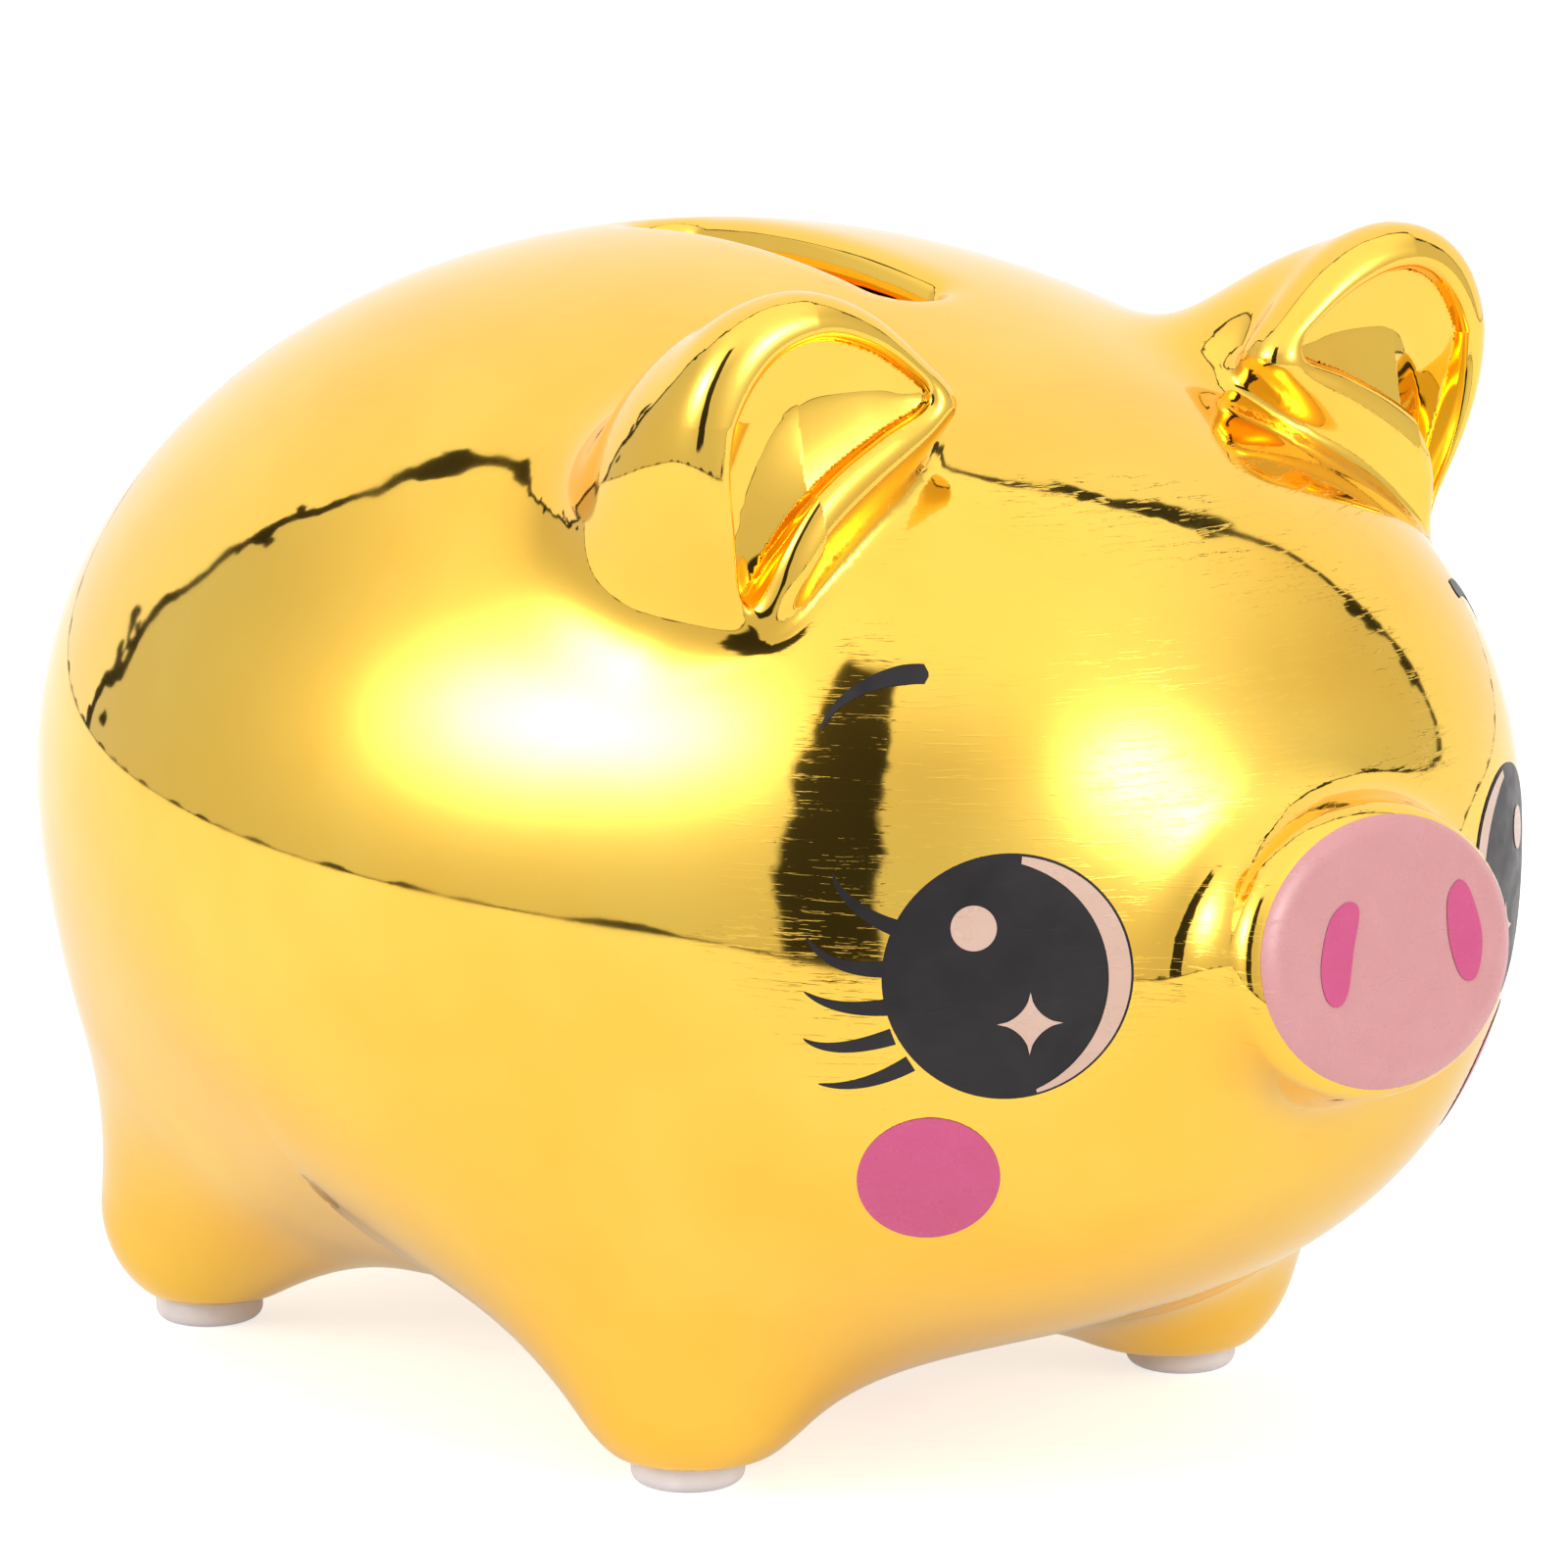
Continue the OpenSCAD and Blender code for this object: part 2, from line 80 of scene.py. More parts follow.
# The ears run into the head over 2.5 mm in front, and 6.5 mm more behind y = -36
EAR_BLEND, EAR_BLEND_MORE, EAR_BLEND_Y, EAR_BLEND_RUN = 2.5, 6.5, -46.0, 10.0


def join(a, b, k):
    h = np.maximum(k - np.abs(a - b), 0) / k
    return np.minimum(a, b) - h * h * h * k / 6


def cut(a, b, k):
    return -join(-a, -b, k)


def ellipsoid(p, c, r):
    q = (p - c) / r
    k0 = np.linalg.norm(q, axis=1)
    k1 = np.linalg.norm(q / r, axis=1)
    return k0 * (k0 - 1) / np.maximum(k1, 1e-6)


def blunt(p, c, r, e):
    q = np.abs(p - c) / r + 1e-6
    k = (q ** e).sum(axis=1) ** (1 / e)
    g = np.linalg.norm((q / k[:, None]) ** (e - 1) / r, axis=1)
    return (k - 1) / g


def round_cone(p, a, b, ra, rb):
    ba = b - a
    l2 = ba @ ba
    rr = ra - rb
    a2 = l2 - rr * rr
    pa = p - a
    y = pa @ ba
    z = y - l2
    side = pa * l2 - y[:, None] * ba
    x2 = (side * side).sum(axis=1)
    y2 = y * y * l2
    z2 = z * z * l2
    k = np.sign(rr) * rr * rr * x2
    low = np.sqrt(x2 + z2) / l2 - rb
    high = np.sqrt(x2 + y2) / l2 - ra
    mid = (np.sqrt(x2 * a2 / l2) + y * rr) / l2 - ra
    return np.where(np.sign(z) * a2 * z2 > k, low, np.where(np.sign(y) * a2 * y2 < k, high, mid))


def snout(p):
    d = p - SNOUT_FACE + SNOUT_AXIS * SNOUT_DEPTH / 2
    d = d / np.array([SNOUT_OVAL, 1, 1])
    y = d @ SNOUT_AXIS
    x = np.sqrt(np.maximum((d * d).sum(axis=1) - y * y, 0))
    dx = x - (SNOUT_HALF_H - SNOUT_EDGE)
    dy = np.abs(y) - (SNOUT_DEPTH / 2 - SNOUT_EDGE)
    return np.minimum(np.maximum(dx, dy), 0) + np.hypot(np.maximum(dx, 0), np.maximum(dy, 0)) - SNOUT_EDGE


def leg(p, x, y, slant, r):
    thigh = np.array([x - THIGH_IN, y + slant, THIGH_Z])
    foot = np.array([x, y, PAD_H + r - FOOT_SINK])
    return round_cone(p, thigh, foot, THIGH_R, r)


def pig(p):
    q = np.column_stack([np.abs(p[:, 0]), p[:, 1], p[:, 2]])
    body = join(ellipsoid(q, BELLY_C, BELLY_R), blunt(q, HEAD_C, HEAD_R, HEAD_BLUNT), HEAD_BLEND)
    body = join(body, snout(q), SNOUT_BLEND)
    return join(body, np.minimum(leg(q, *FRONT_LEG), leg(q, *REAR_LEG)), LEG_BLEND)


def outline_gap(p, corners):
    """Distance in the plane from a closed outline, negative inside it."""
    gap = np.full(len(p), 1e9)
    odd = np.zeros(len(p), bool)
    for a, b in zip(corners, np.roll(corners, -1, axis=0)):
        t = np.clip((p - a) @ (b - a) / ((b - a) @ (b - a)), 0, 1)
        gap = np.minimum(gap, ((p - a - t[:, None] * (b - a)) ** 2).sum(axis=1))
        crosses = (a[1] > p[:, 1]) != (b[1] > p[:, 1])
        if a[1] != b[1]:
            odd ^= crosses & (p[:, 0] < a[0] + (p[:, 1] - a[1]) / (b[1] - a[1]) * (b[0] - a[0]))
    return np.sqrt(gap) * np.where(odd, -1, 1)


# The grid that holds an outline's distances, and the points its curve is drawn with
TILE = 0.6
TILE_LOW, TILE_COUNT = np.array([0.0, 54.0]), (110, 110)
OUTLINE_POINTS = 160


def smooth_gap(corners):
    """The same distance as a smooth function, through a grid of cubic splines."""
    i, j = [a.ravel() for a in np.meshgrid(*(np.arange(n) for n in TILE_COUNT), indexing="ij")]
    places = TILE_LOW + TILE * np.column_stack([i, j])
    grid = outline_gap(places, rounded(corners, OUTLINE_POINTS)).reshape(TILE_COUNT)

    def gap(q):
        at = (q[:, [0, 2]] - TILE_LOW) / TILE
        at = np.clip(at, 1, np.array(TILE_COUNT) - 3.001)
        cell = at.astype(int)
        u = at - cell
        weights = [(1 - u) ** 3 / 6, (3 * u ** 3 - 6 * u ** 2 + 4) / 6,
                   (-3 * u ** 3 + 3 * u ** 2 + 3 * u + 1) / 6, u ** 3 / 6]
        total = 0
        for a in range(4):
            for b in range(4):
                value = grid[cell[:, 0] + a - 1, cell[:, 1] + b - 1]
                total = total + weights[a][:, 0] * weights[b][:, 1] * value
        return total
    return gap


def rounded(corners, n):
    """A closed smooth curve of n points through the corners."""
    p = np.array(corners, float)
    k = len(p)
    t = np.arange(n) / n * k
    j = t.astype(int)
    u = (t - j)[:, None]
    a, b, c, d = (p[(j + i) % k] for i in (-1, 0, 1, 2))
    bow, twist = 2 * a - 5 * b + 4 * c - d, 3 * b - a - 3 * c + d
    return 0.5 * (2 * b + (c - a) * u + bow * u * u + twist * u ** 3)


plate_gap, panel_gap = smooth_gap(EAR_PLATE), smooth_gap(EAR_PANEL)


def ear(p):
    """A hood: a slab with a rolled rim round a bowl, and a long dome behind it."""
    out = np.full(len(p), 30.0)
    near = (np.abs(np.abs(p[:, 0]) - EAR_X) < 26) & (np.abs(p[:, 1] + 34) < 28)
    near &= p[:, 2] > EAR_Z - 32
    p = p[near]
    q = np.column_stack([np.abs(p[:, 0]), p[:, 1], p[:, 2]])
    low = np.clip((93 - q[:, 2]) / 16, 0, 1)
    # the lower outer corner of the front turns backwards
    bend = (BEND_HIGH + (BEND_LOW - BEND_HIGH) * low) * np.maximum(q[:, 0] - BEND_X, 0)
    egg = ellipsoid((q - DOME_C) @ DOME_AXES.T, np.zeros(3), DOME_R)
    dome = cut(egg, 1.5 - EAR_FRONT - q[:, 1], 4)
    q = q + bend[:, None] * np.array([0.8, -1, 0.275])
    thick = PLATE_T + 5 * low
    side = plate_gap(q) + RIM_R
    depth = np.abs(q[:, 1] + EAR_FRONT - thick / 2) - thick / 2 + RIM_R
    outside = np.hypot(np.maximum(side, 0), np.maximum(depth, 0))
    plate = np.minimum(np.maximum(side, depth), 0) + outside - RIM_R
    solid = join(plate, dome, 4 + 8 * low)
    panel = panel_gap(q)
    floor = BOWL_DEPTH + BOWL_MORE * (1 - np.exp(np.minimum(panel, 0) / BOWL_RUN))
    recess = np.maximum(panel, q[:, 1] + EAR_FRONT - floor)
    out[near] = cut(solid, -recess, RIM_SOFT)
    return out


def stadium(x, y, length, width):
    return np.hypot(x, np.maximum(np.abs(y) - (length - width) / 2, 0)) - width / 2


def outside_skin(p):
    """The glazed outside: body and ears run into each other, tightly in front and widely behind."""
    behind = np.clip((p[:, 1] - EAR_BLEND_Y) / EAR_BLEND_RUN, 0, 1)
    blend = EAR_BLEND + EAR_BLEND_MORE * behind * behind * (3 - 2 * behind)
    return join(pig(p), ear(p), blend)


def shell(p):
    """The hollow body with its coin slot, belly hole and flat feet."""
    g = outside_skin(p)
    slot = stadium(p[:, 0], p[:, 1] - SLOT_Y, SLOT_L, SLOT_W)
    g = np.where(p[:, 2] > SLOT_FLOOR_Z, cut(g, -slot, SLOT_LIP), g)
    g = cut(g, -(pig(p) + WALL), WALL_EDGE)
    g = cut(g, PAD_H - p[:, 2], FOOT_EDGE)
    rho = np.hypot(p[:, 0], p[:, 1] - HOLE_Y)
    for radius, top in ((HOLE_R, HOLE_TOP_Z), (SEAT_R, SEAT_Z)):
        g = cut(g, -cut(rho - radius, p[:, 2] - top, HOLE_TOP_EDGE), HOLE_EDGE)
    return g


# ---- meshes ----

def gradient(f, p, e=0.02):
    return np.column_stack([f(p + d) - f(p - d) for d in np.eye(3) * e]) / (2 * e)


def unit_rows(v):
    return v / np.maximum(np.linalg.norm(v, axis=1), 1e-9)[:, None]


def surface_net(f, low, high, h):
    """Quads on the level 0 of f, which is the same on both sides of x = 0."""
    nx = int(np.ceil(high[0] / h))
    xs = np.arange(-nx, nx + 1) * h
    ys = np.arange(low[1], high[1] + h, h)
    zs = np.arange(low[2], high[2] + h, h)
    half = np.empty((nx + 1, len(ys), len(zs)))
    yy, zz = [a.ravel() for a in np.meshgrid(ys, zs, indexing="ij")]
    for i in range(nx + 1):
        half[i] = f(np.column_stack([np.full(len(yy), i * h), yy, zz])).reshape(len(ys), len(zs))
    v = np.concatenate([half[:0:-1], half])
    inside = v < 0
    count = sum(inside[i:v.shape[0] - 1 + i, j:v.shape[1] - 1 + j, k:v.shape[2] - 1 + k].astype(np.int8)
                for i in (0, 1) for j in (0, 1) for k in (0, 1))
    active = (count > 0) & (count < 8)
    index = np.full(active.shape, -1)
    cells = np.argwhere(active)
    index[active] = np.arange(len(cells))
    total = np.zeros((len(cells), 3))
    hits = np.zeros(len(cells))
    corners = [np.array([i, j, k]) for i in (0, 1) for j in (0, 1) for k in (0, 1)]
    for a in corners:
        for b in corners:
            if (b - a).sum() != 1 or (b - a).min() < 0:
                continue
            va = v[tuple((cells + a).T)]
            vb = v[tuple((cells + b).T)]
            m = (va < 0) != (vb < 0)
            t = va[m] / (va[m] - vb[m])
            total[m] += a + t[:, None] * (b - a)
            hits[m] += 1
    verts = np.array([xs[0], ys[0], zs[0]]) + h * (cells + total / hits[:, None])
    quads = []
    for axis in range(3):
        u, w = [(1, 2), (2, 0), (0, 1)][axis]
        head = [slice(None)] * 3
        tail = [slice(None)] * 3
        head[axis], tail[axis] = slice(1, None), slice(None, -1)
        change = inside[tuple(head)] != inside[tuple(tail)]
        at = np.argwhere(change)
        at = at[(at[:, u] > 0) & (at[:, w] > 0)
                & (at[:, u] < v.shape[u] - 1) & (at[:, w] < v.shape[w] - 1)]
        eu, ew = np.eye(3, dtype=int)[u], np.eye(3, dtype=int)[w]
        ring = [index[tuple((at - s * eu - t * ew).T)] for s, t in ((0, 0), (1, 0), (1, 1), (0, 1))]
        quad = np.column_stack(ring)
        flip = ~inside[tuple(at.T)]
        quad[flip] = quad[flip][:, ::-1]
        quads.append(quad)
    return verts, np.concatenate(quads)


def settle(f, p, steps=4, most=0.5):
    """Moves points onto the level 0 of f along its slope."""
    for _ in range(steps):
        g = gradient(f, p)
        step = f(p)[:, None] * g / np.maximum((g * g).sum(axis=1), 0.05)[:, None]
        size = np.linalg.norm(step, axis=1)[:, None]
        p = p - step * np.minimum(1, most / np.maximum(size, 1e-9))
    return p


def refined(f, verts, quads, chosen):
    """Splits each chosen quad in four, with the new points on the level 0 of f."""
    part = quads[chosen]
    sides = np.stack([part, np.roll(part, -1, axis=1)], axis=2).reshape(-1, 2)
    pairs, at = np.unique(np.sort(sides, axis=1), axis=0, return_inverse=True)
    mid = (len(verts) + at.reshape(-1)).reshape(part.shape)
    middle = len(verts) + len(pairs) + np.arange(len(part))
    new = np.vstack([verts[pairs].mean(axis=1), verts[part].mean(axis=1)])
    small = [np.column_stack([part[:, i], mid[:, i], middle, mid[:, i - 1]]) for i in range(4)]
    quads = np.concatenate([quads[~chosen]] + small)
    chosen = np.arange(len(quads)) >= (~chosen).sum()
    return np.vstack([verts, settle(f, new, 3, 0.2)]), quads, chosen


def add_mesh(name, verts, faces, material, normals=None, body="bank"):
    mesh = bpy.data.meshes.new(name)
    mesh.from_pydata((verts * MM).tolist(), [], faces)
    mesh.polygons.foreach_set("use_smooth", [True] * len(mesh.polygons))
    mesh.materials.append(material)
    if normals is not None:
        mesh.normals_split_custom_set_from_vertices(normals.tolist())
    obj = bpy.data.objects.new(name, mesh)
    bpy.context.scene.collection.objects.link(obj)
    if body:
        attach(obj, body)
    return obj


def piece_of(verts, quads, normals, keep, depth):
    """The kept faces, with each open edge closed by a hidden fan that runs to a point inside."""
    part = quads[keep]
    used, flat = np.unique(part, return_inverse=True)
    part = flat.reshape(part.shape)
    pv, pn = verts[used], normals[used]
    edges = {}
    for q in part:
        for i in range(4):
            edges[(q[i], q[(i + 1) % 4])] = True
    rim = {a: b for a, b in edges if (b, a) not in edges}
    faces = part.tolist()
    todo = set(rim)
    extra, extra_n = [], []
    while todo:
        start = next(iter(sorted(todo)))
        loop = [start]
        todo.discard(start)
        while rim[loop[-1]] in todo:
            loop.append(rim[loop[-1]])
            todo.discard(loop[-1])
        middle = pv[loop].mean(axis=0)
        n = unit_rows(gradient(pig, middle[None]))[0]
        flat_gap = ((pv[loop] - middle) @ n).min()
        extra.append(middle + n * (flat_gap - depth))
        extra_n.append(-n)
        k = len(pv) + len(extra) - 1
        faces += [[loop[(i + 1) % len(loop)], loop[i], k] for i in range(len(loop))]
    if extra:
        pv = np.concatenate([pv, extra])
        pn = np.concatenate([pn, extra_n])
    return pv, faces, pn


# ---- materials ----

def new_material(name):
    m = bpy.data.materials.new(name)
    m.use_nodes = True
    nodes, links = m.node_tree.nodes, m.node_tree.links
    bsdf = nodes["Principled BSDF"]
    coord = nodes.new("ShaderNodeTexCoord")
    return m, nodes, links, bsdf, coord


def noise(nodes, links, vector, scale, detail=3.0, roughness=0.5, stretch=None, turn=None):
    """A noise whose scale is in features per metre."""
    if stretch:
        mapping = nodes.new("ShaderNodeMapping")
        mapping.inputs["Scale"].default_value = stretch
        mapping.inputs["Rotation"].default_value = turn or (0, 0, 0)
        links.new(vector, mapping.inputs["Vector"])
        vector = mapping.outputs["Vector"]
    n = nodes.new("ShaderNodeTexNoise")
    n.inputs["Scale"].default_value = scale
    n.inputs["Detail"].default_value = detail
    n.inputs["Roughness"].default_value = roughness
    links.new(vector, n.inputs["Vector"])
    return n.outputs["Fac"]


def ramp(nodes, links, fac, low, high, at=(0.3, 0.7)):
    r = nodes.new("ShaderNodeValToRGB")
    for e, c, t in zip(r.color_ramp.elements, (low, high), at):
        e.position = t
        e.color = (*c, 1) if len(c) == 3 else (c[0],) * 3 + (1,)
    links.new(fac, r.inputs["Fac"])
    return r.outputs["Color"]


def bump(nodes, links, height, distance, strength=1.0, normal=None):
    b = nodes.new("ShaderNodeBump")
    b.inputs["Distance"].default_value = distance
    b.inputs["Strength"].default_value = strength
    links.new(height, b.inputs["Height"])
    if normal:
        links.new(normal, b.inputs["Normal"])
    return b.outputs["Normal"]


def calc(nodes, links, operation, a, b=None):
    """A math node; numbers and sockets may be mixed."""
    n = nodes.new("ShaderNodeMath")
    n.operation = operation
    for i, value in enumerate((a, b)):
        if isinstance(value, (int, float)):
            n.inputs[i].default_value = value
        elif value is not None:
            links.new(value, n.inputs[i])
    return n.outputs[0]


def remap(nodes, links, value, start, stop, low=0.0, high=1.0, smooth=False):
    n = nodes.new("ShaderNodeMapRange")
    if smooth:
        n.interpolation_type = "SMOOTHSTEP"
    for key, number in (("From Min", start), ("From Max", stop), ("To Min", low), ("To Max", high)):
        n.inputs[key].default_value = number
    links.new(value, n.inputs["Value"])
    return n.outputs["Result"]


def film_scratches(nodes, links, p, y, normal):
    """The clear film round the face prints is finely scratched and creased."""
    patch = remap(nodes, links, y, -0.044, -0.056, smooth=True)
    for turn, scale in (((0.5, 0.5, 0.3), 150), ((-0.4, 0.9, 0.2), 210)):
        streaks = noise(nodes, links, p, scale, 3.0, 0.6, (1, 1, 16), turn)
        hairs = ramp(nodes, links, streaks, (0.0,), (1.0,), (0.60, 0.66))
        normal = bump(nodes, links, hairs, 0.00002, 0.3, normal)
        links.new(calc(nodes, links, "MULTIPLY", patch, 0.35), normal.node.inputs["Strength"])
    return normal


SLOT_DEEP_Z, SLOT_DEEP_FADE = 0.0935, 0.0016


def slot_inside(nodes, links, split):
    """1 below the slot's lip. Known fault: it has no lower edge, so it is also 1 on the belly
    under the slot."""
    inside = remap(nodes, links, split.outputs["Z"], SLOT_DEEP_Z + SLOT_DEEP_FADE, SLOT_DEEP_Z)
    for axis, middle, half in (("X", 0.0, SLOT_W * 0.56), ("Y", SLOT_Y, SLOT_L * 0.51)):
        off = calc(nodes, links, "SUBTRACT", split.outputs[axis], middle * MM)
        within = calc(nodes, links, "LESS_THAN", calc(nodes, links, "ABSOLUTE", off), half * MM)
        inside = calc(nodes, links, "MULTIPLY", within, inside)
    return inside


def gold_material():
    m, nodes, links, bsdf, coord = new_material("gold_glaze")
    p = coord.outputs["Object"]
    rough = ramp(nodes, links, noise(nodes, links, p, 140), (0.035,), (0.07,))
    links.new(rough, bsdf.inputs["Roughness"])
    wave = bump(nodes, links, noise(nodes, links, p, 45, 1.0), 0.00012, 0.35)
    fine = bump(nodes, links, noise(nodes, links, p, 900, 2.0), 0.000004, 0.3, wave)
    split = nodes.new("ShaderNodeSeparateXYZ")
    links.new(p, split.inputs[0])
    normal = film_scratches(nodes, links, p, split.outputs["Y"], fine)
    links.new(normal, bsdf.inputs["Normal"])
    # plated gold outside; inside the slot a duller, less metallic bare wall, its orange colour a painted
    # glow standing in for gold light bounced round the slot
    gold = ramp(nodes, links, noise(nodes, links, p, 55), (1.0, 0.60, 0.085), (1.0, 0.67, 0.115))
    bare_wall_painted_glow = ramp(nodes, links, noise(nodes, links, p, 300, 4.0), (0.75, 0.26, 0.03), (0.95, 0.42, 0.06))
    inside = slot_inside(nodes, links, split)
    tint = nodes.new("ShaderNodeMixRGB")
    for key, value in (("Fac", inside), ("Color1", gold), ("Color2", bare_wall_painted_glow)):
        links.new(value, tint.inputs[key])
    links.new(tint.outputs["Color"], bsdf.inputs["Base Color"])
    links.new(remap(nodes, links, inside, 0.0, 1.0, 1.0, 0.35), bsdf.inputs["Metallic"])
    return m


def print_material(name, low, high, rough=(0.22, 0.34), scratch=0.5):
    m, nodes, links, bsdf, coord = new_material(name)
    p = coord.outputs["Object"]
    links.new(ramp(nodes, links, noise(nodes, links, p, 260, 4.0), low, high), bsdf.inputs["Base Color"])
    shine = ramp(nodes, links, noise(nodes, links, p, 500), (rough[0],), (rough[1],))
    links.new(shine, bsdf.inputs["Roughness"])
    lines = noise(nodes, links, p, 160, 2.0, 0.5, (1, 1, 9), (0.5, 0.5, 0))
    normal = bump(nodes, links, lines, 0.00004, scratch)
    for turn, scale in (((0.9, 0.3, 0.8), 170), ((-0.5, 0.2, 0.4), 230)):
        streaks = noise(nodes, links, p, scale, 4.0, 0.6, (1, 1, 7), turn)
        hairs = ramp(nodes, links, streaks, (0.0,), (1.0,), (0.62, 0.68))
        normal = bump(nodes, links, hairs, 0.00004, scratch, normal)
    links.new(normal, bsdf.inputs["Normal"])
    bsdf.inputs["Coat Weight"].default_value = 0.2
    bsdf.inputs["Coat Roughness"].default_value = 0.12
    return m


def rubber_material(name, low, high):
    m, nodes, links, bsdf, coord = new_material(name)
    p = coord.outputs["Object"]
    links.new(ramp(nodes, links, noise(nodes, links, p, 300, 5.0), low, high), bsdf.inputs["Base Color"])
    links.new(ramp(nodes, links, noise(nodes, links, p, 700), (0.5,), (0.7,)), bsdf.inputs["Roughness"])
    links.new(bump(nodes, links, noise(nodes, links, p, 1500, 4.0), 0.00003, 0.4), bsdf.inputs["Normal"])
    return m


GOLD = gold_material()
BLACK = print_material("print_black", (0.010, 0.009, 0.010), (0.018, 0.015, 0.018), (0.3, 0.45), 0.35)
GLINT = print_material("print_glint", (0.57, 0.38, 0.30), (0.60, 0.405, 0.33))
black_bsdf = BLACK.node_tree.nodes["Principled BSDF"]
black_bsdf.inputs["Specular IOR Level"].default_value = 0.3
black_bsdf.inputs["Coat Weight"].default_value = 0.06
PINK = print_material("print_pink", (0.56, 0.25, 0.255), (0.585, 0.27, 0.275))
HOT_PINK = print_material("print_hot_pink", (0.53, 0.062, 0.185), (0.555, 0.07, 0.205))
FOOT = rubber_material("foot_white", (0.60, 0.56, 0.58), (0.68, 0.64, 0.66))
RUBBER = rubber_material("stopper_rubber", (0.62, 0.62, 0.58), (0.72, 0.72, 0.68))

# ---- the ceramic shell and its ears ----

verts, quads = surface_net(shell, (-61, -82, 1.0), (61, 72, 107), CELL)
verts = settle(shell, verts)
ear_side = (ear(verts) < pig(verts)) & (pig(verts) > -0.5)
ear_face = ear_side[quads].all(axis=1)
for _ in range(2):
    verts, quads, ear_face = refined(shell, verts, quads, ear_face)
normals = unit_rows(gradient(shell, verts))
left = verts[quads].mean(axis=1)[:, 0] > 0
for name, keep, depth in (("body_shell", ~ear_face, 2.0), ("ear_left", ear_face & left, 0.8),
                          ("ear_right", ear_face & ~left, 0.8)):
    pv, faces, pn = piece_of(verts, quads, normals, keep, depth)
    piece = add_mesh("gold_" + name, pv, faces, GOLD, pn)
    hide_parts(name)

# ---- prints: thin films that follow the glaze ----

FILM_UP, FILM_T, GLINT_UP = 0.02, 0.05, 0.09


def print_frame(x, z):
    """Middle of a print on the glaze, then forwards, upwards and outwards, on the pig's right."""
    q = np.array([[-x, -20.0, z]])
    low, high = 0.0, 70.0
    for _ in range(40):
        m = (low + high) / 2
        low, high = (m, high) if pig(q + [0, -m, 0])[0] < 0 else (low, m)
    p = q + [0, -low, 0]
    n = unit_rows(gradient(pig, p))[0]
    h = np.cross([0, 0, 1], n)
    h /= np.linalg.norm(h)
    return p[0], h, np.cross(n, h), n


def on_glaze(f, uv):
    p = f[0] + uv[:, :1] * f[1] + uv[:, 1:] * f[2]
    low, high = np.full(len(p), -14.0), np.full(len(p), 6.0)
    for _ in range(30):
        m = (low + high) / 2
        inside = pig(p + m[:, None] * f[3]) < 0
        low, high = np.where(inside, m, low), np.where(inside, high, m)
    return p + low[:, None] * f[3]


def film(name, f, grid, material, up, side, wrap=False):
    """A closed sheet over rows of points; with wrap the rows are rings round the first row's middle."""
    rows, cols = len(grid), len(grid[0])
    uv = np.array([c for r in grid for c in r], float)
    if wrap:
        uv = np.vstack([uv, uv[:cols].mean(axis=0)])
    p = on_glaze(f, uv)
    n = unit_rows(gradient(pig, p))
    count = len(p)
    both = np.vstack([p + n * (up + FILM_T), p + n * up])
    normal = np.vstack([n, -n])
    if side > 0:
        both[:, 0] *= -1
        normal[:, 0] *= -1
    faces = []
    last = cols if wrap else cols - 1
    for i in range(rows - 1):
        for j in range(last):
            k = (j + 1) % cols
            faces.append([i * cols + j, i * cols + k, (i + 1) * cols + k, (i + 1) * cols + j])
    if wrap:
        faces += [[count - 1, (j + 1) % cols, j] for j in range(cols)]
        rim = [(rows - 1) * cols + j for j in range(cols)]
    else:
        rim = ([j for j in range(cols)] + [i * cols + cols - 1 for i in range(1, rows)]
               + [(rows - 1) * cols + j for j in range(cols - 2, -1, -1)]
               + [i * cols for i in range(rows - 2, 0, -1)])
    a, b, c = (both[faces[0][i]] for i in range(3))
    flip = np.dot(np.cross(b - a, c - a), normal[faces[0][0]]) < 0
    if flip:
        faces = [q[::-1] for q in faces]
    edges = {(q[i], q[(i + 1) % len(q)]) for q in faces for i in range(len(q))}
    walls = []
    for i in range(len(rim)):
        a, b = rim[i], rim[(i + 1) % len(rim)]
        if (a, b) not in edges:
            a, b = b, a
        walls.append([b, a, count + a, count + b])
    faces = faces + [[count + i for i in q[::-1]] for q in faces] + walls
    return add_mesh(name, both, faces, material, normal)


def disc(c, r, rings=10, segments=72):
    """Rings out to the radius r, which may be a function of the angle."""
    out = []
    for i in range(rings):
        t = (i + 1) / rings
        out.append([(c[0] + t * (r(a) if callable(r) else r) * cos(a),
                     c[1] + t * (r(a) if callable(r) else r) * sin(a))
                    for a in (2 * pi * j / segments for j in range(segments))])
    return out


def stroke(points, half_width, steps=16):
    """A tapered stroke along a smooth curve through three or more points."""
    p = np.array(points, float)
    t = np.linspace(0, 1, len(p))
    fit = [np.polyfit(t, p[:, i], len(p) - 1 if len(p) < 5 else 3) for i in (0, 1)]
    s = np.linspace(0, 1, steps + 1)
    line = np.column_stack([np.polyval(c, s) for c in fit])
    run = np.gradient(line, axis=0)
    run /= np.linalg.norm(run, axis=1)[:, None]
    across = np.column_stack([-run[:, 1], run[:, 0]])
    w = np.array([half_width(x) for x in s])[:, None]
    return [[tuple(a), tuple(b), tuple(c)] for a, b, c in zip(line + across * w, line, line - across * w)]


def joined(name, objs):
    """Several closed sheets as one printed piece."""
    if len(objs) > 1:
        with bpy.context.temp_override(active_object=objs[0], selected_editable_objects=objs):
            bpy.ops.object.join()
    objs[0].name = name
    return objs[0]


